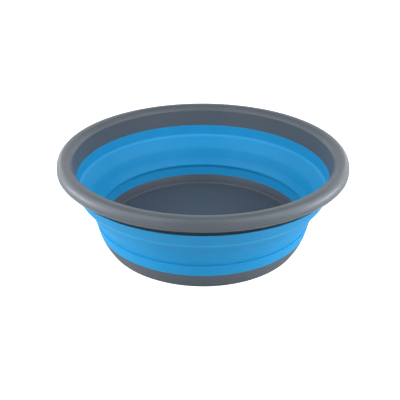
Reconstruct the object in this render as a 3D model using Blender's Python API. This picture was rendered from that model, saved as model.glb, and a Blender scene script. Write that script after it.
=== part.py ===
"""Round collapsible basin: a hard base tray, a soft folding wall and a hard rolled rim.

Run it with Blender 4.5. Every piece is a ring turned about +Z, and z = 0 is the surface that
the basin stands on. Each piece is built from its own section, a closed outline in the plane of
radius and height. The soft wall is cut where it flexes. The cuts between its moving bands are
upright cylinders, so one band slides past the next with the same small gap at every height.
Lengths are in millimetres, and a pair of numbers is a point (radius, height).
"""
import math

import bmesh
import bpy

MM = 0.001
MERGE_DISTANCE = 0.00001

# Whole object
RIM_RADIUS = 186.7
SEGMENTS = 72
GAP = 0.3

# Base tray
FOOT_RADIUS = 130.3
FOOT_WIDTH = 2.8
FOOT_EDGE = 0.5
FLOOR_TOP = 9.5
FLOOR_THICKNESS = 2.5
FLOOR_EDGE_RADIUS = 132.6
FLOOR_FILLET = 2.6
FILLET_STEPS = 3
TRAY_TOP = 22.0
TRAY_INNER_RADIUS = 137.0
TRAY_OUTER_RADIUS = 140.2
TRAY_OUTER_BULGE = 1.0
TRAY_OUTER_STEPS = 6
RECESS_LEAN = 3.6
RECESS_CORNER_WIDTH = 1.5
RECESS_CORNER_HEIGHT = 1.0

# Lower band, fixed to the tray by a tongue and a groove
LOWER_TOP = 37.4
LOWER_INNER_RADIUS = 139.9
LOWER_UNDERCUT_HEIGHT = 33.3
LOWER_OUTER_RADIUS = 143.7
LOWER_EDGE = 0.6
TONGUE_HALF_WIDTH = 0.55
TONGUE_HEIGHT = 3.2

# Lip and lower hinge line
LIP_RADIUS = 138.4
LIP_BOTTOM = 37.7
LOWER_HINGE_RADIUS = 142.0
LOWER_HINGE_TOP = 39.4

# Section of the folding wall, inner face from the lip up and outer face from the hinge up
TOE_TOP = (144.0, 46.9)
WAIST_INNER_TOP = (148.6, 60.9)
SHOULDER_INNER_BOTTOM = (149.5, 62.7)
LEDGE_BOTTOM = (159.6, 76.6)
LEDGE_TOP = (162.6, 79.1)
TOE_OUTER_TOP = (143.4, 39.2)
WAIST_OUTER_MID = (146.0, 46.2)
WAIST_OUTER_TOP = (152.0, 60.4)
SHOULDER_OUTER_MID = (156.1, 66.8)
UPPER_HINGE_BOTTOM = (161.6, 73.8)
UPPER_HINGE_TOP = (162.9, 77.2)

# Upright cuts between the bands that move
TOE_CUT = 144.45
WAIST_CUT = 150.65
UPPER_CUT = 162.0

# Upper band and the rim's two legs, with the groove that its rib fills
LEAF_BOTTOM = 93.0
LEAF_RADIUS = 164.5
LEAF_THICKNESS = 2.4
COLLAR_BOTTOM = 97.6
COLLAR_RADIUS = 173.6
COLLAR_THICKNESS = 2.3
COLLAR_DRAFT = 0.9
COLLAR_TOP = 119.0
GROOVE_LEAN = 2.4
GROOVE_INNER_TOP = 116.0
GROOVE_OUTER_TOP = 119.0
RIB_CLEARANCE = 0.4
WALL_TOP = (175.2, 97.6)

# Rolled rim: a parabola from the crease to its top, then a squarish quarter down to the skirt
ROLL_OUTWARD = 9.7
ROLL_UPWARD = 14.45
ROLL_HEIGHT = 108.4
ROLL_POWER = 2.78
ROLL_END = 7.0
ROLL_SHOULDER_RADIUS = 171.0
ROLL_INNER_STEPS = 5
ROLL_OUTER_STEPS = 8
HOLLOW_START = 12.0
HOLLOW_END = 80.0
HOLLOW_STEPS = 5
CREASE = (167.05, 115.8)
RIM_THICKNESS = 2.4
SKIRT_BOTTOM = 108.4
SKIRT_BOTTOM_RADIUS = 186.2
SKIRT_BEAD = 0.5
BEAD_NECK_INWARD = 0.1
BEAD_NECK_HEIGHT = 1.6

# Finishes
PP_GREY = (0.145, 0.160, 0.185, 1.0)
PP_ROUGHNESS = 0.45
TPE_BLUE = (0.030, 0.290, 0.640, 1.0)
TPE_ROUGHNESS = 0.55


def arc(centre, across, up, start, end, steps, power=2.0):
    """Points of an ellipse's arc in the section plane, with both ends, in degrees from +radius.

    A power above 2 makes it squarer: cosine and sine are raised to 2 / power, their signs kept.
    """
    points = []
    for k in range(steps + 1):
        angle = math.radians(start + (end - start) * k / steps)
        cosine, sine = (math.copysign(abs(wave) ** (2.0 / power), wave)
                        for wave in (math.cos(angle), math.sin(angle)))
        points.append((centre[0] + across * cosine, centre[1] + up * sine))
    return points


def parabola(start, middle, end, steps):
    """Points of the parabola (1-t)^2 start + 2t(1-t) middle + t^2 end, with both ends."""
    points = []
    for k in range(steps + 1):
        t = k / steps
        shares = ((1 - t) ** 2, 2 * t * (1 - t), t ** 2)
        points.append(tuple(sum(share * point[axis] for share, point in zip(shares, (start, middle, end)))
                            for axis in (0, 1)))
    return points


def between(a, b, share):
    """The point at a share of the way from a to b."""
    return (a[0] + (b[0] - a[0]) * share, a[1] + (b[1] - a[1]) * share)


def at_radius(a, b, radius):
    """The point of the line from a to b at that radius."""
    return between(a, b, (radius - a[0]) / (b[0] - a[0]))


def tongue_middle(height):
    """The radius of the tongue's middle line at a height. It leans as the wall around it does."""
    lean = (LOWER_INNER_RADIUS - TRAY_INNER_RADIUS) / (LOWER_UNDERCUT_HEIGHT - TRAY_TOP)
    return (TRAY_OUTER_RADIUS + TRAY_INNER_RADIUS) / 2 + (height - TRAY_TOP) * lean


def clear_scene():
    """Removes every object, so that the script gives the same result each time."""
    for old in list(bpy.data.objects):
        bpy.data.objects.remove(old, do_unlink=True)


def finish_material(name, colour, roughness):
    """A plain moulded plastic or rubber."""
    material = bpy.data.materials.new(name)
    material.use_nodes = True
    shader = material.node_tree.nodes["Principled BSDF"]
    shader.inputs["Base Color"].default_value = colour
    shader.inputs["Roughness"].default_value = roughness
    shader.inputs["Metallic"].default_value = 0.0
    return material


def turned(name, section, material):
    """Turns a closed section about the axis. It runs down its outer side and up its inner one."""
    mesh = bpy.data.meshes.new(name)
    body = bmesh.new()
    corners = [body.verts.new((radius * MM, 0.0, height * MM)) for radius, height in section]
    on_axis = [radius == 0.0 for radius, height in section]
    for k, corner in enumerate(corners):
        after = (k + 1) % len(corners)
        if not (on_axis[k] and on_axis[after]):
            body.edges.new((corner, corners[after]))
    body.to_mesh(mesh)
    body.free()
    mesh.materials.append(material)
    piece = bpy.data.objects.new(name, mesh)
    bpy.context.scene.collection.objects.link(piece)
    screw = piece.modifiers.new("turn", "SCREW")
    screw.axis = "Z"
    screw.angle = math.tau
    screw.steps = SEGMENTS
    screw.render_steps = SEGMENTS
    screw.use_merge_vertices = True
    screw.merge_threshold = MERGE_DISTANCE
    screw.use_smooth_shade = True
    return piece


def base_tray_section():
    """The floor and its low side wall, on a foot ring, with a tongue that the lower band grips."""
    tip = TRAY_TOP + TONGUE_HEIGHT
    section = [
        (tongue_middle(tip) + TONGUE_HALF_WIDTH, tip),
        (tongue_middle(TRAY_TOP) + TONGUE_HALF_WIDTH, TRAY_TOP),
    ]
    foot = (FOOT_RADIUS, 0.0)
    for k in range(TRAY_OUTER_STEPS):
        share = k / TRAY_OUTER_STEPS
        radius, height = between((TRAY_OUTER_RADIUS, TRAY_TOP), foot, share)
        section.append((radius + TRAY_OUTER_BULGE * math.sin(math.pi * share), height))
    foot_inside = FOOT_RADIUS - FOOT_WIDTH
    underside = FLOOR_TOP - FLOOR_THICKNESS
    recess = foot_inside + RECESS_LEAN
    section += [
        (FOOT_RADIUS + FOOT_EDGE, FOOT_EDGE),
        foot,
        (foot_inside, 0.0),
        (recess, underside - RECESS_CORNER_HEIGHT),
        (recess - RECESS_CORNER_WIDTH, underside),
        (0.0, underside),
        (0.0, FLOOR_TOP),
    ]
    fillet_centre = (FLOOR_EDGE_RADIUS - FLOOR_FILLET, FLOOR_TOP + FLOOR_FILLET)
    section += arc(fillet_centre, FLOOR_FILLET, FLOOR_FILLET, 270.0, 360.0, FILLET_STEPS)
    section += [
        (TRAY_INNER_RADIUS, TRAY_TOP),
        (tongue_middle(TRAY_TOP) - TONGUE_HALF_WIDTH, TRAY_TOP),
        (tongue_middle(tip) - TONGUE_HALF_WIDTH, tip),
    ]
    return section


def lower_band_section():
    """The band moulded on to the tray, with the groove that takes the tray's tongue."""
    bottom = TRAY_TOP + GAP
    roof = bottom + TONGUE_HEIGHT
    half = TONGUE_HALF_WIDTH + GAP
    return [
        (LOWER_OUTER_RADIUS - LOWER_EDGE, LOWER_TOP),
        (LOWER_OUTER_RADIUS, LOWER_TOP - LOWER_EDGE),
        (TRAY_OUTER_RADIUS, bottom),
        (tongue_middle(bottom) + half, bottom),
        (tongue_middle(roof) + half, roof),
        (tongue_middle(roof) - half, roof),
        (tongue_middle(bottom) - half, bottom),
        (TRAY_INNER_RADIUS, bottom),
        (LOWER_INNER_RADIUS, LOWER_UNDERCUT_HEIGHT),
        (LOWER_INNER_RADIUS, LOWER_TOP),
    ]


def toe_band_section():
    """The lip and the foot of the folding wall, which stay on the lower band."""
    edge = TOE_CUT - GAP / 2
    return [
        at_radius(TOE_TOP, WAIST_INNER_TOP, edge),
        at_radius(TOE_OUTER_TOP, WAIST_OUTER_MID, edge),
        TOE_OUTER_TOP,
        (LOWER_HINGE_RADIUS, LOWER_HINGE_TOP),
        (LOWER_HINGE_RADIUS, LIP_BOTTOM),
        (LIP_RADIUS, LIP_BOTTOM),
        TOE_TOP,
    ]


def waist_band_section():
    """The steep middle band, which turns inside out as the basin folds."""
    inside = TOE_CUT + GAP / 2
    outside = WAIST_CUT - GAP / 2
    return [
        at_radius(SHOULDER_INNER_BOTTOM, LEDGE_BOTTOM, outside),
        at_radius(WAIST_OUTER_MID, WAIST_OUTER_TOP, outside),
        WAIST_OUTER_MID,
        at_radius(TOE_OUTER_TOP, WAIST_OUTER_MID, inside),
        at_radius(TOE_TOP, WAIST_INNER_TOP, inside),
        WAIST_INNER_TOP,
        SHOULDER_INNER_BOTTOM,
    ]


def shoulder_band_section():
    """The shallow band between the waist and the upper hinge line."""
    inside = WAIST_CUT + GAP / 2
    outside = UPPER_CUT - GAP / 2
    return [
        at_radius(LEDGE_BOTTOM, LEDGE_TOP, outside),
        at_radius(UPPER_HINGE_BOTTOM, UPPER_HINGE_TOP, outside),
        UPPER_HINGE_BOTTOM,
        SHOULDER_OUTER_MID,
        WAIST_OUTER_TOP,
        at_radius(WAIST_OUTER_MID, WAIST_OUTER_TOP, inside),
        at_radius(SHOULDER_INNER_BOTTOM, LEDGE_BOTTOM, inside),
        LEDGE_BOTTOM,
    ]


def groove_roof():
    """The inner and outer corner of the sloping roof of the groove between the rim's legs."""
    inner = (LEAF_RADIUS + LEAF_THICKNESS + GROOVE_LEAN, GROOVE_INNER_TOP)
    outer = (COLLAR_RADIUS - COLLAR_THICKNESS + COLLAR_DRAFT, GROOVE_OUTER_TOP)
    return inner, outer


def upper_band_section():
    """The stiff band under the rim, with the rib that fills the groove between the rim's legs."""
    inside = UPPER_CUT + GAP / 2
    leaf_side = LEAF_RADIUS + LEAF_THICKNESS + GAP
    collar_side = COLLAR_RADIUS - COLLAR_THICKNESS - GAP
    roof_inner, roof_outer = groove_roof()
    rib_inner = at_radius(roof_inner, roof_outer, leaf_side + GROOVE_LEAN)
    rib_outer = at_radius(roof_inner, roof_outer, collar_side + COLLAR_DRAFT - RIB_CLEARANCE)
    return [
        (rib_outer[0], rib_outer[1] - RIB_CLEARANCE),
        (collar_side, COLLAR_BOTTOM - GAP),
        (COLLAR_RADIUS, COLLAR_BOTTOM - GAP),
        WALL_TOP,
        UPPER_HINGE_TOP,
        at_radius(UPPER_HINGE_BOTTOM, UPPER_HINGE_TOP, inside),
        at_radius(LEDGE_BOTTOM, LEDGE_TOP, inside),
        LEDGE_TOP,
        (LEAF_RADIUS, LEAF_BOTTOM - GAP),
        (leaf_side, LEAF_BOTTOM - GAP),
        (rib_inner[0], rib_inner[1] - RIB_CLEARANCE),
    ]


def rim_section():
    """The rolled rim: an open roll with a skirt, an inner leaf and a collar under the roll."""
    centre = (RIM_RADIUS - ROLL_OUTWARD, ROLL_HEIGHT)
    leaf_side = LEAF_RADIUS + LEAF_THICKNESS
    collar_side = COLLAR_RADIUS - COLLAR_THICKNESS
    roof_inner, roof_outer = groove_roof()
    top = (centre[0], ROLL_HEIGHT + ROLL_UPWARD)
    section = parabola(CREASE, (ROLL_SHOULDER_RADIUS, top[1]), top, ROLL_INNER_STEPS)
    section += arc(centre, ROLL_OUTWARD, ROLL_UPWARD, 90.0, ROLL_END, ROLL_OUTER_STEPS, ROLL_POWER)[1:]
    section += [
        (SKIRT_BOTTOM_RADIUS - BEAD_NECK_INWARD, SKIRT_BOTTOM + BEAD_NECK_HEIGHT),
        (SKIRT_BOTTOM_RADIUS + SKIRT_BEAD, SKIRT_BOTTOM + SKIRT_BEAD),
        (SKIRT_BOTTOM_RADIUS, SKIRT_BOTTOM),
        (SKIRT_BOTTOM_RADIUS - RIM_THICKNESS, SKIRT_BOTTOM),
    ]
    hollow = (ROLL_OUTWARD - RIM_THICKNESS, ROLL_UPWARD - RIM_THICKNESS)
    section += arc(centre, *hollow, HOLLOW_START, HOLLOW_END, HOLLOW_STEPS, ROLL_POWER)
    section += [
        (COLLAR_RADIUS + COLLAR_DRAFT, COLLAR_TOP),
        (COLLAR_RADIUS, COLLAR_BOTTOM),
        (collar_side, COLLAR_BOTTOM),
        roof_outer,
        roof_inner,
        (leaf_side, LEAF_BOTTOM),
        (LEAF_RADIUS, LEAF_BOTTOM),
    ]
    return section


def main():
    """Builds every piece with its own material."""
    clear_scene()
    grey = (PP_GREY, PP_ROUGHNESS)
    blue = (TPE_BLUE, TPE_ROUGHNESS)
    pieces = [
        ("base_tray", base_tray_section(), grey),
        ("wall_lower_band", lower_band_section(), blue),
        ("wall_toe_band", toe_band_section(), blue),
        ("wall_waist_band", waist_band_section(), blue),
        ("wall_shoulder_band", shoulder_band_section(), blue),
        ("wall_upper_band", upper_band_section(), blue),
        ("rim_ring", rim_section(), grey),
    ]
    for name, section, (colour, roughness) in pieces:
        turned(name, section, finish_material(name, colour, roughness))


if __name__ == "__main__":
    main()
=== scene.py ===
"""Looks of the round collapsible basin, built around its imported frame.

The rim and the base tray are hard moulded polypropylene. The wall between them is one soft moulded
elastomer, which rolls inside out as the rim is pushed down. Every piece is a surface turned about
+Z. Sections are in millimetres, as (radius, height), and meshes and the scene are in metres.
"""
from __future__ import annotations

import logging
import math
from dataclasses import dataclass, field
from enum import Enum

import bpy
import numpy as np
from mathutils import Matrix, Vector


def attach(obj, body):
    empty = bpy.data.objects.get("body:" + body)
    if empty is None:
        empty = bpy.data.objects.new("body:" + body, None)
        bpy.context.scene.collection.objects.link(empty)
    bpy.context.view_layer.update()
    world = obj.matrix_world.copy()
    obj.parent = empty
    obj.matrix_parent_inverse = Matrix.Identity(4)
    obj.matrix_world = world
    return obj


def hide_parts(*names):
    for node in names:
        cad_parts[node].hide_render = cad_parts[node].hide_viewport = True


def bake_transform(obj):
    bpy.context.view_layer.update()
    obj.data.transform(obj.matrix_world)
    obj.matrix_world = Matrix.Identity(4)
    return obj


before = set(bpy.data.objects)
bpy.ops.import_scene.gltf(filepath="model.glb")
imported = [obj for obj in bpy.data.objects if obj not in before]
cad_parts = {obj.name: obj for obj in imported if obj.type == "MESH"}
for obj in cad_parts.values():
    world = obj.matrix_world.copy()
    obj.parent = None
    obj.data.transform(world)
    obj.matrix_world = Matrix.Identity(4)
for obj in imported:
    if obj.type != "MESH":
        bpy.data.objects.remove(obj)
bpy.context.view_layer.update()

log = logging.getLogger("basin")

MM = 0.001
ON_AXIS = 1e-6
# Sides of every turned surface.
SEGMENTS = 288
# The folding wall's attribute that marks where a painted highlight lies along its ledge.
PAINTED_HIGHLIGHT = "painted_ledge_highlight"
FINE_DETAIL = 2.0
CLOUD_DETAIL = 3.0


class Body(Enum):
    """The moving bodies of the frame."""

    BASE = "base"
    RIM = "rim"


class Slot(Enum):
    """The record's material slots."""

    HARD_GREY = "pp_grey"
    SOFT_BLUE = "tpe_blue"


def linear(hex_colour: str) -> tuple[float, float, float, float]:
    """Turns an sRGB hex colour to linear light.

    Args:
        hex_colour: The colour as "#rrggbb".

    Returns:
        Red, green, blue and an alpha of 1.
    """
    srgb = np.array([int(hex_colour[k:k + 2], 16) for k in (1, 3, 5)]) / 255.0
    light = np.where(srgb <= 0.04045, srgb / 12.92, ((srgb + 0.055) / 1.055) ** 2.4)
    return (*light.tolist(), 1.0)


def add_node(tree: bpy.types.NodeTree, kind: str, inputs: dict | None = None,
             **settings) -> bpy.types.Node:
    """Adds one node to a tree.

    Args:
        tree: The node tree.
        kind: The node's type, such as "ShaderNodeTexNoise".
        inputs: Socket name to a value, or to another node's output, which is linked.
        settings: The node's own properties.

    Returns:
        The new node.
    """
    node = tree.nodes.new(kind)
    for name, value in settings.items():
        setattr(node, name, value)
    for name, value in (inputs or {}).items():
        if isinstance(value, bpy.types.NodeSocket):
            tree.links.new(value, node.inputs[name])
        else:
            node.inputs[name].default_value = value
    return node


def waves_per_metre(size_mm: float) -> float:
    """The scale of a noise texture whose features are that many millimetres apart."""
    return 1.0 / (size_mm * MM)


@dataclass(frozen=True)
class MouldedPolypropylene:
    """Hard grey polypropylene, injection moulded in a tool with a spark-eroded face.

    The eroded face breaks gloss up into a wide, soft highlight. The pigment is even, with a faint
    cloudiness where the melt ran. The space under the rolled rim is darkened with painted shade,
    where the roll's overhang shades it.
    """

    name: str = "moulded_polypropylene_grey"
    deep: str = "#555d65"
    pale: str = "#5b636c"
    cloud_mm: float = 38.0
    # The real grain is about 0.15 mm. It is drawn at 0.9 mm, because one pixel covers that much.
    grain_mm: float = 0.9
    grain_depth_mm: float = 0.035
    grain_strength: float = 0.35
    # Roughness at the smoothest and at the roughest of the grain.
    smooth: float = 0.40
    rough: float = 0.52
    ior: float = 1.49
    specular: float = 0.5
    # The dark tone of the painted shade under the roll.
    under_roll_shade_tone: str = "#272b30"
    # Radii where the painted shade under the roll starts and ends, and its top, each with the width of its
    # fading.
    shade_start_mm: float = 171.0
    shade_end_mm: float = 182.0
    shade_top_mm: float = 118.0
    shade_fade_mm: float = 1.0

    def painted_shade_share(self, tree: bpy.types.NodeTree,
                  place: bpy.types.NodeSocket) -> bpy.types.NodeSocket:
        """How much painted shade a point gets under the roll: 1 between the two radii and below the top,
        else 0.

        Args:
            tree: The material's node tree.
            place: Object coordinates.

        Returns:
            The share, the product of three soft steps.
        """
        flat = add_node(tree, "ShaderNodeVectorMath", {0: place, 1: (1.0, 1.0, 0.0)},
                        operation="MULTIPLY")
        radius = add_node(tree, "ShaderNodeVectorMath", {0: flat.outputs[0]}, operation="LENGTH")
        height = add_node(tree, "ShaderNodeSeparateXYZ", {"Vector": place}).outputs["Z"]
        share = None
        for value, edge, outward in ((radius.outputs["Value"], self.shade_start_mm, 1.0),
                                     (radius.outputs["Value"], self.shade_end_mm, -1.0),
                                     (height, self.shade_top_mm, -1.0)):
            half = outward * self.shade_fade_mm / 2
            step = add_node(tree, "ShaderNodeMapRange",
                            {"Value": value, "From Min": (edge - half) * MM,
                             "From Max": (edge + half) * MM})
            if share is None:
                share = step.outputs["Result"]
            else:
                share = add_node(tree, "ShaderNodeMath", {0: share, 1: step.outputs["Result"]},
                                 operation="MULTIPLY").outputs["Value"]
        return share

    def build(self) -> bpy.types.Material:
        """Makes the material.

        Returns:
            The material, which reads Object coordinates.
        """
        material = bpy.data.materials.new(self.name)
        material.use_nodes = True
        tree = material.node_tree
        shader = tree.nodes["Principled BSDF"]
        place = add_node(tree, "ShaderNodeTexCoord").outputs["Object"]
        cloud = add_node(tree, "ShaderNodeTexNoise",
                         {"Vector": place, "Scale": waves_per_metre(self.cloud_mm), "Detail": CLOUD_DETAIL})
        tone = add_node(tree, "ShaderNodeMix", {"Factor": cloud.outputs["Fac"]}, data_type="RGBA")
        tone.inputs[6].default_value = linear(self.deep)
        tone.inputs[7].default_value = linear(self.pale)
        # Painted shade: under the roll the grey is mixed towards a dark tone.
        colour = add_node(tree, "ShaderNodeMix", {"Factor": self.painted_shade_share(tree, place)},
                          data_type="RGBA")
        tree.links.new(tone.outputs[2], colour.inputs[6])
        colour.inputs[7].default_value = linear(self.under_roll_shade_tone)
        grain = add_node(tree, "ShaderNodeTexNoise",
                         {"Vector": place, "Scale": waves_per_metre(self.grain_mm), "Detail": FINE_DETAIL})
        gloss = add_node(tree, "ShaderNodeMapRange",
                         {"Value": grain.outputs["Fac"], "To Min": self.smooth, "To Max": self.rough})
        relief = add_node(tree, "ShaderNodeBump",
                          {"Height": grain.outputs["Fac"], "Strength": self.grain_strength,
                           "Distance": self.grain_depth_mm * MM})
        tree.links.new(colour.outputs[2], shader.inputs["Base Color"])
        tree.links.new(gloss.outputs["Result"], shader.inputs["Roughness"])
        tree.links.new(relief.outputs["Normal"], shader.inputs["Normal"])
        shader.inputs["IOR"].default_value = self.ior
        shader.inputs["Specular IOR Level"].default_value = self.specular
        return material


@dataclass(frozen=True)
class MouldedElastomer:
    """Soft blue thermoplastic elastomer, injection moulded on to the hard parts.

    It is satin, with a dry, slightly hazy bloom that lightens it at a low angle, and a faint
    unevenness where the soft wall was stretched on its way out of the tool. It is a little paler
    along the ledge, where the wall's own attribute marks a painted highlight.
    """

    name: str = "moulded_elastomer_blue"
    deep: str = "#1e97d3"
    pale: str = "#239eda"
    # The paler blue of the painted highlight along the ledge.
    highlight_tone: str = "#32a9e4"
    cloud_mm: float = 26.0
    # The real bloom is as fine as dust. It is drawn at 1.4 mm, so that it shows at all.
    bloom_mm: float = 1.4
    bloom_depth_mm: float = 0.03
    bloom_strength: float = 0.30
    # Roughness at the smoothest and at the roughest of the bloom.
    smooth: float = 0.44
    rough: float = 0.56
    ior: float = 1.47
    specular: float = 0.22
    sheen: float = 0.01
    sheen_roughness: float = 0.45

    def build(self) -> bpy.types.Material:
        """Makes the material.

        Returns:
            The material, which reads Object coordinates.
        """
        material = bpy.data.materials.new(self.name)
        material.use_nodes = True
        tree = material.node_tree
        shader = tree.nodes["Principled BSDF"]
        place = add_node(tree, "ShaderNodeTexCoord").outputs["Object"]
        cloud = add_node(tree, "ShaderNodeTexNoise",
                         {"Vector": place, "Scale": waves_per_metre(self.cloud_mm), "Detail": CLOUD_DETAIL})
        tone = add_node(tree, "ShaderNodeMix", {"Factor": cloud.outputs["Fac"]}, data_type="RGBA")
        tone.inputs[6].default_value = linear(self.deep)
        tone.inputs[7].default_value = linear(self.pale)
        # Painted highlight: the blue is mixed towards a paler tone where the wall's attribute marks the
        # ledge.
        highlight_share = add_node(tree, "ShaderNodeAttribute", attribute_name=PAINTED_HIGHLIGHT).outputs["Fac"]
        colour = add_node(tree, "ShaderNodeMix", {"Factor": highlight_share}, data_type="RGBA")
        tree.links.new(tone.outputs[2], colour.inputs[6])
        colour.inputs[7].default_value = linear(self.highlight_tone)
        bloom = add_node(tree, "ShaderNodeTexNoise",
                         {"Vector": place, "Scale": waves_per_metre(self.bloom_mm), "Detail": FINE_DETAIL})
        gloss = add_node(tree, "ShaderNodeMapRange",
                         {"Value": bloom.outputs["Fac"], "To Min": self.smooth, "To Max": self.rough})
        relief = add_node(tree, "ShaderNodeBump",
                          {"Height": bloom.outputs["Fac"], "Strength": self.bloom_strength,
                           "Distance": self.bloom_depth_mm * MM})
        tree.links.new(colour.outputs[2], shader.inputs["Base Color"])
        tree.links.new(gloss.outputs["Result"], shader.inputs["Roughness"])
        tree.links.new(relief.outputs["Normal"], shader.inputs["Normal"])
        shader.inputs["IOR"].default_value = self.ior
        shader.inputs["Specular IOR Level"].default_value = self.specular
        shader.inputs["Sheen Weight"].default_value = self.sheen
        shader.inputs["Sheen Roughness"].default_value = self.sheen_roughness
        return material


def arc(centre: tuple[float, float], half_axes: tuple[float, float],
        start: float, end: float, steps: int, power: float = 2.0) -> np.ndarray:
    """Corners along an ellipse, or along a squarer curve, for an even run of angles.

    The point at an angle is the centre plus across times cosine to 2 / power, and up times sine to
    2 / power, with their signs kept.

    Args:
        centre: Middle of the ellipse, (radius, height) in the section's plane.
        half_axes: Half its width and half its height, (across, up).
        start: First angle in degrees, from +radius towards +height.
        end: Last angle in degrees.
        steps: Number of chords.
        power: 2 for an ellipse, and more for a squarer curve.

    Returns:
        One row per corner, (radius, height, rounding), with a rounding of 0.
    """
    angle = np.radians(np.linspace(start, end, steps + 1))
    wave = np.stack([np.cos(angle), np.sin(angle)], axis=1)
    points = np.array(centre) + np.array(half_axes) * np.sign(wave) * np.abs(wave) ** (2.0 / power)
    return np.hstack([points, np.zeros((steps + 1, 1))])


def parabola(start: tuple[float, float], middle: tuple[float, float], end: tuple[float, float],
             steps: int) -> np.ndarray:
    """Corners along the parabola (1-t)^2 start + 2t(1-t) middle + t^2 end, for an even run of t.

    Args:
        start: First point, (radius, height).
        middle: Point where the tangents at both ends meet.
        end: Last point.
        steps: Number of chords.

    Returns:
        One row per corner, (radius, height, rounding), with a rounding of 0.
    """
    t = np.linspace(0.0, 1.0, steps + 1)[:, None]
    points = (1 - t) ** 2 * np.array(start) + 2 * t * (1 - t) * np.array(middle) + t ** 2 * np.array(end)
    return np.hstack([points, np.zeros_like(t)])


def rounded(corners: np.ndarray, steps: int = 5, hold: float = 0.25) -> np.ndarray:
    """Rounds the corners of a closed outline.

    Each corner P with a rounding c becomes the parabola from A to B, where A and B lie c before
    and after P on its two sides: (1-t)^2 A + 2t(1-t) P + t^2 B. A further point is added just
    outside each end of it, so that smooth shading stays flat on the flat sides.

    Args:
        corners: One row per corner, (radius, height, rounding).
        steps: Number of chords in each rounded corner.
        hold: Distance from the parabola's ends to the further points.

    Returns:
        One row per point, (radius, height).
    """
    point, rounding = corners[:, :2], corners[:, 2]
    back = np.roll(point, 1, axis=0) - point
    ahead = np.roll(point, -1, axis=0) - point
    back_length = np.linalg.norm(back, axis=1)
    ahead_length = np.linalg.norm(ahead, axis=1)
    room = np.minimum(back_length, ahead_length)
    trim = np.minimum(rounding, 0.40 * room)[:, None]
    far = np.minimum(trim[:, 0] + hold, 0.47 * room)[:, None]
    back /= back_length[:, None]
    ahead /= ahead_length[:, None]
    t = np.linspace(0.0, 1.0, steps + 1)[None, :, None]
    start, middle, end = (point + back * trim)[:, None], point[:, None], (point + ahead * trim)[:, None]
    bend = (1 - t) ** 2 * start + 2 * t * (1 - t) * middle + t ** 2 * end
    rows = np.concatenate([(point + back * far)[:, None], bend, (point + ahead * far)[:, None]], axis=1)
    keep = np.repeat((rounding > 0)[:, None], rows.shape[1], axis=1)
    keep[:, 1] = True
    return rows[keep]


def ring_grid(section: np.ndarray, closed: bool) -> tuple[np.ndarray, list]:
    """Turns a section about +Z: x = r cos(u), y = r sin(u), z = h, for each (r, h) and angle u.

    A section that runs down its outer side and up its inner one gives faces that point outwards.
    Where it has two neighbouring points on the axis, the lower one first, they become its poles:
    the rings then run from the upper pole, over the outside, to the lower one.

    Args:
        section: One row per point, (radius, height) in millimetres.
        closed: True if the last point joins the first one.

    Returns:
        Vertices in metres, and faces as lists of indices.
    """
    on_axis = np.flatnonzero(section[:, 0] < ON_AXIS)
    if on_axis.size:
        section = np.roll(section, -on_axis[-1], axis=0)
    rings = section[section[:, 0] >= ON_AXIS] * MM
    angle = np.linspace(0.0, math.tau, SEGMENTS, endpoint=False)
    x = rings[:, :1] * np.cos(angle)
    y = rings[:, :1] * np.sin(angle)
    z = np.repeat(rings[:, 1:], SEGMENTS, axis=1)
    vertices = np.stack([x, y, z], axis=-1).reshape(-1, 3)
    index = np.arange(len(rings) * SEGMENTS).reshape(len(rings), SEGMENTS)
    after = np.roll(index, -1, axis=0) if closed and not on_axis.size else index[1:]
    before = index[:len(after)]
    quads = np.stack([before, after, np.roll(after, -1, axis=1), np.roll(before, -1, axis=1)], axis=-1)
    faces = quads.reshape(-1, 4).tolist()
    if on_axis.size:
        first, last = index[0], index[-1]
        pole_heights = section[[0, -1], 1] * MM
        vertices = np.vstack([vertices, [(0.0, 0.0, height) for height in pole_heights]])
        top_pole = np.full(SEGMENTS, index.size)
        bottom_pole = top_pole + 1
        faces += np.stack([top_pole, first, np.roll(first, -1)], axis=-1).tolist()
        faces += np.stack([last, bottom_pole, np.roll(last, -1)], axis=-1).tolist()
    return vertices, faces


def mesh_object(name: str, vertices: np.ndarray, faces: list,
                material: bpy.types.Material) -> bpy.types.Object:
    """Makes an object at the origin with smooth faces.

    Args:
        name: The piece's name.
        vertices: Places in metres.
        faces: Lists of indices.
        material: Its finish.

    Returns:
        The object, linked to the scene.
    """
    mesh = bpy.data.meshes.new(name)
    mesh.from_pydata(vertices, [], faces)
    mesh.polygons.foreach_set("use_smooth", np.ones(len(mesh.polygons), bool))
    mesh.materials.append(material)
    mesh.update()
    piece = bpy.data.objects.new(name, mesh)
    bpy.context.scene.collection.objects.link(piece)
    return piece


@dataclass
class TurnedPiece:
    """A closed solid of revolution that rides on one body."""

    name: str = ""
    body: Body = Body.BASE
    slot: Slot = Slot.HARD_GREY
    stands_for: tuple[str, ...] = ()

    def corners(self) -> np.ndarray:
        """The section's corners, (radius, height, rounding), down the outside and up the inside."""
        raise NotImplementedError

    def build(self, material: bpy.types.Material) -> bpy.types.Object:
        """Builds the piece, dresses it and puts it on its body.

        Args:
            material: Its finish.

        Returns:
            The object.
        """
        vertices, faces = ring_grid(rounded(self.corners()), closed=True)
        piece = mesh_object(self.name, vertices, faces, material)
        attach(piece, self.body.value)
        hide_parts(*self.stands_for)
        return piece


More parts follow.
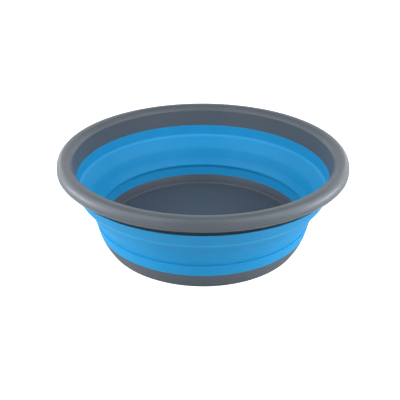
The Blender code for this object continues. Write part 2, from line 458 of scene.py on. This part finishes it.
@dataclass
class Rim(TurnedPiece):
    """The rolled rim: an open roll with a skirt, an inner leaf, and a collar under the roll."""

    name: str = "rolled_rim"
    body: Body = Body.RIM
    slot: Slot = Slot.HARD_GREY
    stands_for: tuple[str, ...] = ("rim_ring",)
    outer_radius: float = 186.7
    roll_outward: float = 9.7
    roll_upward: float = 14.45
    roll_height: float = 108.4
    roll_power: float = 2.78
    roll_end: float = 7.0
    shoulder_radius: float = 171.0
    thickness: float = 2.4
    hollow_start: float = 12.0
    hollow_end: float = 80.0
    crease: tuple[float, float] = (167.05, 115.8)
    skirt_bottom: tuple[float, float] = (186.2, 108.4)
    skirt_bead: float = 0.5
    bead_neck: tuple[float, float] = (-0.1, 1.6)
    leaf_bottom: tuple[float, float] = (164.5, 93.0)
    leaf_thickness: float = 2.4
    collar_bottom: tuple[float, float] = (173.6, 97.6)
    collar_thickness: float = 2.3
    collar_draft: float = 0.9
    collar_top: float = 119.0
    groove_inner_top: tuple[float, float] = (169.3, 116.0)
    # Chords along the roll's inner side, its outer quarter and its hollow.
    inner_steps: int = 14
    outer_steps: int = 30
    hollow_steps: int = 16

    def corners(self) -> np.ndarray:
        """The section, from the crease over the roll, up into its hollow and round both legs.

        The roll is a parabola from the crease to its top, then a squarish quarter down to the
        skirt, and its hollow follows that quarter one thickness inside it.
        """
        centre = (self.outer_radius - self.roll_outward, self.roll_height)
        top = self.roll_height + self.roll_upward
        outward = (self.roll_outward, self.roll_upward)
        hollow = (self.roll_outward - self.thickness, self.roll_upward - self.thickness)
        skirt_radius, skirt_height = self.skirt_bottom
        collar_radius, collar_height = self.collar_bottom
        leaf_radius, leaf_height = self.leaf_bottom
        collar_inside = collar_radius - self.collar_thickness
        skirt = [
            (skirt_radius + self.bead_neck[0], skirt_height + self.bead_neck[1], 0.35),
            (skirt_radius + self.skirt_bead, skirt_height + self.skirt_bead, 0.3),
            (skirt_radius, skirt_height, 0.3),
            (skirt_radius - self.thickness, skirt_height, 0.5),
        ]
        legs = [
            (collar_radius + self.collar_draft, self.collar_top, 1.2),
            (collar_radius, collar_height, 0.45),
            (collar_inside, collar_height, 0.2),
            (collar_inside + self.collar_draft, self.collar_top, 0.4),
            (*self.groove_inner_top, 0.4),
            (leaf_radius + self.leaf_thickness, leaf_height, 0.2),
            (leaf_radius, leaf_height, 0.35),
        ]
        return np.vstack([
            [(*self.crease, 0.8)],
            parabola(self.crease, (self.shoulder_radius, top), (centre[0], top), self.inner_steps)[1:],
            arc(centre, outward, 90.0, self.roll_end, self.outer_steps, self.roll_power)[1:],
            skirt,
            arc(centre, hollow, self.hollow_start, self.hollow_end, self.hollow_steps, self.roll_power),
            legs,
        ])


@dataclass
class UpperBand(TurnedPiece):
    """The stiff upper end of the soft wall, which fills the groove between the rim's legs."""

    name: str = "wall_upper"
    body: Body = Body.RIM
    slot: Slot = Slot.SOFT_BLUE
    stands_for: tuple[str, ...] = ("wall_upper_band",)
    ledge_top: tuple[float, float] = (162.6, 79.1)
    hinge_top: tuple[float, float] = (162.9, 77.2)
    leaf_bottom: tuple[float, float] = (164.5, 93.0)
    wall_top: tuple[float, float] = (175.2, 97.6)
    rib_inner: float = 167.2
    rib_outer: float = 171.0
    rib_lean: float = 2.0
    rib_top: float = 112.0

    def corners(self) -> np.ndarray:
        """The section, from the rib's top down the outer cone and up the inner face."""
        return np.array([
            (self.rib_outer, self.rib_top, 0.5),
            (self.rib_outer, self.wall_top[1], 0.1),
            (*self.wall_top, 0.35),
            (*self.hinge_top, 0.25),
            (*self.ledge_top, 0.25),
            (*self.leaf_bottom, 0.3),
            (self.rib_inner, self.leaf_bottom[1], 0.1),
            (self.rib_inner + self.rib_lean, self.rib_top, 0.5),
        ])


@dataclass
class LowerBand(TurnedPiece):
    """The soft wall's foot on the tray, with the neck from which the folding part rises."""

    name: str = "wall_foot"
    body: Body = Body.BASE
    slot: Slot = Slot.SOFT_BLUE
    stands_for: tuple[str, ...] = ("wall_lower_band",)
    top: float = 37.4
    outer_radius: float = 143.7
    bottom: float = 22.0
    bottom_outer_radius: float = 140.2
    bottom_inner_radius: float = 137.0
    inner_radius: float = 139.9
    undercut_height: float = 33.3
    neck_outer_radius: float = 141.5
    neck_top: float = 38.6

    def corners(self) -> np.ndarray:
        """The section, from the neck down the outside and up the inside."""
        return np.array([
            (self.neck_outer_radius, self.neck_top, 0.1),
            (self.neck_outer_radius, self.top, 0.3),
            (self.outer_radius, self.top, 0.75),
            (self.bottom_outer_radius, self.bottom, 0.25),
            (self.bottom_inner_radius, self.bottom, 0.25),
            (self.inner_radius, self.undercut_height, 2.0),
            (self.inner_radius, self.neck_top, 0.1),
        ])


@dataclass
class BaseTray(TurnedPiece):
    """The floor and its low curved side, on a foot ring with a shallow recess inside it."""

    name: str = "base_tray_shell"
    body: Body = Body.BASE
    slot: Slot = Slot.HARD_GREY
    stands_for: tuple[str, ...] = ("base_tray",)
    top: float = 22.0
    outer_radius: float = 140.2
    inner_radius: float = 137.0
    outer_bulge: float = 1.0
    foot_radius: float = 130.3
    foot_width: float = 2.8
    floor_top: float = 9.5
    floor_thickness: float = 2.5
    floor_edge_radius: float = 132.6
    floor_fillet: float = 2.6
    recess_lean: float = 3.6
    # The bevel between the recess's side and the floor's underside, (inward, down).
    recess_bevel: tuple[float, float] = (1.5, 1.0)
    floor_rings: tuple[float, ...] = (120.0, 80.0, 40.0, 12.0)
    side_steps: int = 24
    fillet_steps: int = 10

    def side(self) -> np.ndarray:
        """The curved outer side: the line from top to foot, pushed out by bulge times sin(pi share)."""
        share = np.linspace(0.0, 1.0, self.side_steps + 1)[1:-1]
        radius = self.outer_radius + (self.foot_radius - self.outer_radius) * share
        radius += self.outer_bulge * np.sin(math.pi * share)
        return np.stack([radius, self.top * (1.0 - share), np.zeros_like(share)], axis=1)

    def corners(self) -> np.ndarray:
        """The section, from the side's top to the foot, under the floor, and back over it."""
        foot_inside = self.foot_radius - self.foot_width
        recess = foot_inside + self.recess_lean
        underside = self.floor_top - self.floor_thickness
        fillet = (self.floor_edge_radius - self.floor_fillet, self.floor_top + self.floor_fillet)
        rings = np.array(self.floor_rings)
        flat = np.zeros_like(rings)
        return np.vstack([
            [(self.outer_radius, self.top, 0.25)],
            self.side(),
            [(self.foot_radius, 0.0, 0.5), (foot_inside, 0.0, 0.5)],
            [(recess, underside - self.recess_bevel[1], 0.6),
             (recess - self.recess_bevel[0], underside, 0.6)],
            np.stack([rings, flat + underside, flat], axis=1),
            [(0.0, underside, 0.0), (0.0, self.floor_top, 0.0)],
            np.stack([rings[::-1], flat + self.floor_top, flat], axis=1),
            arc(fillet, (self.floor_fillet, self.floor_fillet), 270.0, 360.0, self.fillet_steps),
            [(self.inner_radius, self.top, 0.25)],
        ])


@dataclass
class FoldingWall:
    """The part of the soft wall that rolls inside out between its foot and the rim.

    It is a thin middle surface. A live Solidify gives it its thickness after each bend, so the
    wall stays as thick when it is folded.
    """

    name: str = "wall_folding"
    slot: Slot = Slot.SOFT_BLUE
    stands_for: tuple[str, ...] = ("wall_toe_band", "wall_waist_band", "wall_shoulder_band")
    # Radius, height and thickness of the wall's middle line: lip, toe, waist, shoulder and ledge.
    stations: tuple[tuple[float, float, float], ...] = (
        (140.20, 36.60, 3.60),
        (140.22, 37.80, 3.50),
        (140.65, 38.90, 3.10),
        (141.75, 40.35, 2.95),
        (143.71, 43.85, 2.67),
        (145.45, 47.74, 2.22),
        (146.86, 51.50, 2.55),
        (149.67, 59.02, 3.21),
        (150.38, 60.65, 3.32),
        (151.17, 62.17, 3.32),
        (153.43, 65.48, 3.08),
        (155.74, 68.75, 2.98),
        (158.16, 71.95, 3.13),
        (160.49, 75.21, 3.08),
        (162.68, 78.23, 1.44),
        (163.80, 80.90, 1.20),
    )
    # Distance between rings, and the number of rings that one softened crease spans.
    ring_step: float = 0.55
    softening: int = 3
    # Heights of the bottom and the top of the wall's bending part, with the base below and the rim above.
    bend_start: float = 38.0
    bend_end: float = 78.1
    # Height and half width of the painted highlight along the fold under the ledge.
    highlight_height: float = 77.4
    highlight_half_width: float = 1.5

    def middle_line(self) -> np.ndarray:
        """The stations, joined by straight lines, sampled evenly, and softened at the creases.

        Each inner sample becomes the mean of its neighbours over the softening window.

        Returns:
            One row per ring, (radius, height, thickness).
        """
        rows = np.array(self.stations)
        along = np.concatenate([[0.0], np.cumsum(np.linalg.norm(np.diff(rows[:, :2], axis=0), axis=1))])
        at = np.linspace(0.0, along[-1], round(along[-1] / self.ring_step) + 1)
        line = np.stack([np.interp(at, along, column) for column in rows.T], axis=1)
        half = self.softening // 2
        inner = sum(np.roll(line, shift, axis=0) for shift in range(-half, half + 1)) / (2 * half + 1)
        line[half:-half] = inner[half:-half]
        return line

    def build(self, material: bpy.types.Material) -> bpy.types.Object:
        """Builds the wall and gives it its live thickness.

        Args:
            material: Its finish.

        Returns:
            The object.
        """
        line = self.middle_line()
        vertices, faces = ring_grid(line[:, :2], closed=False)
        piece = mesh_object(self.name, vertices, faces, material)
        # The painted highlight's weight, highest at the fold under the ledge.
        highlight_weight = np.exp(-((line[:, 1] - self.highlight_height) / self.highlight_half_width) ** 2)
        mark = piece.data.attributes.new(PAINTED_HIGHLIGHT, "FLOAT", "POINT")
        mark.data.foreach_set("value", np.repeat(highlight_weight, SEGMENTS).astype(np.float32))
        thickest = float(line[:, 2].max())
        group = piece.vertex_groups.new(name="thickness")
        for ring, thickness in enumerate(line[:, 2]):
            first = ring * SEGMENTS
            group.add(range(first, first + SEGMENTS), float(thickness) / thickest, "REPLACE")
        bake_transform(piece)
        wall = piece.modifiers.new("wall thickness", "SOLIDIFY")
        wall.thickness = thickest * MM
        wall.offset = 0.0
        wall.vertex_group = group.name
        wall.use_rim = True
        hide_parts(*self.stands_for)
        return piece


@dataclass(frozen=True)
class Softbox:
    """A rectangular area light that looks at the basin's middle."""

    name: str
    azimuth: float
    elevation: float
    power: float
    width: float = 0.9
    height: float = 0.9
    distance: float = 1.5
    target: tuple[float, float, float] = (0.0, 0.0, 0.06)

    def place(self) -> Vector:
        """The light's place: azimuth 0 is in front, 90 on the left, seen from the camera."""
        turn, rise = math.radians(self.azimuth), math.radians(self.elevation)
        level = math.cos(rise)
        away = Vector((-math.sin(turn) * level, -math.cos(turn) * level, math.sin(rise)))
        return Vector(self.target) + away * self.distance

    def build(self) -> bpy.types.Object:
        """Makes the light and turns it to its target.

        Returns:
            The light.
        """
        data = bpy.data.lights.new(self.name, "AREA")
        data.shape = "RECTANGLE"
        data.size = self.width
        data.size_y = self.height
        data.energy = self.power
        light = bpy.data.objects.new(self.name, data)
        light.location = self.place()
        light.rotation_euler = (Vector(self.target) - light.location).to_track_quat("-Z", "Y").to_euler()
        light.visible_camera = False
        bpy.context.scene.collection.objects.link(light)
        return light


@dataclass
class Studio:
    """A white floor that glows, a pale surround, softboxes, and the camera.

    The floor and the surround look brighter than the light they throw, as they do in a picture
    that was exposed for its background. Only the stage does this, and nothing on the basin.
    """

    floor_half: float = 6.0
    floor_colour: str = "#cbcbcb"
    floor_glow: float = 0.027
    floor_looks: float = 1.0
    # The paper lies this far under the foot, so that the two faces don't share a plane.
    floor_gap_mm: float = 0.15
    floor_roughness: float = 0.9
    floor_specular: float = 0.1
    surround_colour: str = "#ffffff"
    surround_glow: float = 0.01
    surround_looks: float = 1.0
    elevation: float = 27.82
    distance: float = 0.8492
    target: tuple[float, float, float] = (-0.0037, 0.0, 0.0488)
    roll: float = 0.06
    lens: float = 56.72
    sensor: float = 36.0
    clip: tuple[float, float] = (0.01, 50.0)
    lights: tuple[Softbox, ...] = field(default_factory=lambda: (
        Softbox("strip_left", 90.0, 0.0, 12.4, height=0.12),
        Softbox("strip_right", -90.0, 0.0, 12.4, height=0.12),
        Softbox("side_left", 90.0, 30.0, 7.6),
        Softbox("side_right", -90.0, 30.0, 7.6),
        Softbox("fill_left", 45.0, 25.0, 7.0),
        Softbox("fill_right", -45.0, 25.0, 7.0),
        Softbox("key_left", 45.0, 50.0, 5.1),
        Softbox("key_right", -45.0, 50.0, 5.1),
        Softbox("edge_left", 135.0, 10.0, 5.3),
        Softbox("edge_right", -135.0, 10.0, 5.3),
        Softbox("backdrop_low", 180.0, 15.0, 10.0, width=2.8),
        Softbox("backdrop_high", 180.0, 40.0, 3.2, width=2.8),
    ))

    @staticmethod
    def glow(tree: bpy.types.NodeTree, thrown: float, seen: float) -> bpy.types.NodeSocket:
        """A glow's strength: one value for the light it throws, another for how bright it looks.

        Args:
            tree: The stage's node tree.
            thrown: Strength for the light that falls on the basin.
            seen: Strength for what the picture shows.

        Returns:
            The strength's socket.
        """
        looked_at = add_node(tree, "ShaderNodeLightPath").outputs["Is Camera Ray"]
        return add_node(tree, "ShaderNodeMapRange",
                        {"Value": looked_at, "To Min": thrown, "To Max": seen}).outputs["Result"]

    def floor(self) -> bpy.types.Object:
        """Makes the floor, a sheet of white paper, lit from below, under the basin's foot.

        Returns:
            The floor.
        """
        material = bpy.data.materials.new("studio_paper")
        material.use_nodes = True
        tree = material.node_tree
        shader = tree.nodes["Principled BSDF"]
        shader.inputs["Base Color"].default_value = linear(self.floor_colour)
        shader.inputs["Roughness"].default_value = self.floor_roughness
        shader.inputs["Specular IOR Level"].default_value = self.floor_specular
        shader.inputs["Emission Color"].default_value = (1.0, 1.0, 1.0, 1.0)
        strength = self.glow(tree, self.floor_glow, self.floor_looks)
        tree.links.new(strength, shader.inputs["Emission Strength"])
        half, down = self.floor_half, -self.floor_gap_mm * MM
        corners = np.array([(-half, -half, down), (half, -half, down),
                            (half, half, down), (-half, half, down)])
        floor = mesh_object("studio_floor", corners, [[0, 1, 2, 3]], material)
        return floor

    def surround(self) -> None:
        """Lights the scene evenly from all sides."""
        world = bpy.data.worlds.new("studio_surround")
        world.use_nodes = True
        tree = world.node_tree
        background = tree.nodes["Background"]
        background.inputs["Color"].default_value = linear(self.surround_colour)
        strength = self.glow(tree, self.surround_glow, self.surround_looks)
        tree.links.new(strength, background.inputs["Strength"])
        bpy.context.scene.world = world

    def camera(self) -> bpy.types.Object:
        """Makes the camera at the photograph's angle.

        Returns:
            The camera, which is the scene's own.
        """
        data = bpy.data.cameras.new("studio_camera")
        data.lens = self.lens
        data.sensor_width = self.sensor
        data.clip_start, data.clip_end = self.clip
        camera = bpy.data.objects.new("studio_camera", data)
        rise = math.radians(self.elevation)
        back = Vector((0.0, -math.cos(rise), math.sin(rise)))
        facing = (-back).to_track_quat("-Z", "Y").to_matrix().to_4x4()
        turn = Matrix.Rotation(math.radians(self.roll), 4, "Z")
        place = Vector(self.target) + back * self.distance
        camera.matrix_world = Matrix.Translation(place) @ facing @ turn
        bpy.context.scene.collection.objects.link(camera)
        bpy.context.scene.camera = camera
        return camera

    def build(self) -> None:
        """Puts up the whole studio."""
        bpy.context.scene.view_settings.view_transform = "Standard"
        self.floor()
        self.surround()
        self.camera()
        for light in self.lights:
            light.build()


def main() -> None:
    """Builds the studio and every piece of the basin, in order from the floor up."""
    logging.basicConfig(level=logging.INFO, format="%(message)s")
    grey = MouldedPolypropylene().build()
    blue = MouldedElastomer().build()
    Studio().build()
    log.info("studio ready")
    for part, material in ((BaseTray(), grey), (LowerBand(), blue), (FoldingWall(), blue),
                           (UpperBand(), blue), (Rim(), grey)):
        piece = part.build(material)
        log.info("%s: %d faces", piece.name, len(piece.data.polygons))


if __name__ == "__main__":
    main()
